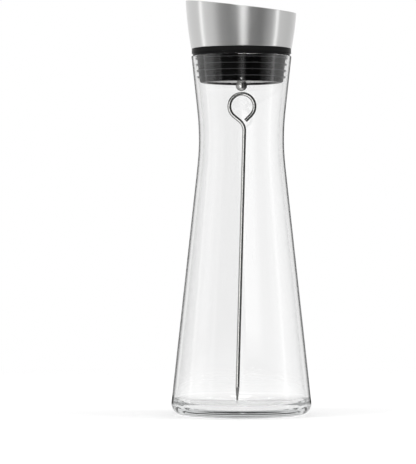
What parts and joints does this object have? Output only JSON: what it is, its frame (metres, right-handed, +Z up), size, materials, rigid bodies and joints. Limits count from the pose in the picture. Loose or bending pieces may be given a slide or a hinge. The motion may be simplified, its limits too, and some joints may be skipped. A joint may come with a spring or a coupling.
{
  "type": "fruit infuser carafe",
  "caption": "Waisted glass carafe with a slanted steel collar, a self-closing weighted flap in a ribbed silicone stopper, and a wire fruit skewer inside.",
  "frame": {"origin": "centre of the glass foot, on the surface that the carafe stands on", "axes": "+Z up along the carafe's axis, Y along the flap's pivot, +X towards the side where the slanted collar is low"},
  "size_m": [0.105, 0.105, 0.3106],
  "materials": {
    "clear_glass": "clear blown glass, fire-polished rim",
    "brushed_steel": "stainless steel sheet, fine brushed round the collar",
    "black_plastic": "black moulded plastic, satin",
    "black_silicone": "black silicone, matt",
    "flap_steel": "stainless steel sheet, satin",
    "polished_steel": "polished stainless steel",
    "skewer_steel": "bright drawn stainless wire"
  },
  "bodies": {
    "carafe": {"carafe_glass": "clear_glass"},
    "stopper": {"steel_collar": "brushed_steel", "pour_insert": "black_plastic", "seal_sleeve": "black_silicone", "pivot_pin_front": "polished_steel", "pivot_pin_rear": "polished_steel"},
    "flap": {"flap_disc": "flap_steel", "ball_weight": "polished_steel", "cap_nut": "polished_steel"},
    "skewer": {"skewer": "skewer_steel"}
  },
  "joints": [
    {"name": "stopper_lift", "type": "slide", "parent": "carafe", "child": "stopper", "axis": [0, 0, 1], "range_m": [0, 0.3]},
    {"name": "flap_tilt", "type": "hinge", "parent": "stopper", "child": "flap", "pos_m": [0, 0, 0.2504], "axis": [0, 1, 0], "range_deg": [-45, 45]},
    {"name": "skewer_lift", "type": "slide", "parent": "carafe", "child": "skewer", "axis": [0, 0, 1], "range_m": [0, 0.27]}
  ],
  "couplings": [
    {"joint": "skewer_lift", "follows": "stopper_lift", "ratio": 0.9}
  ]
}
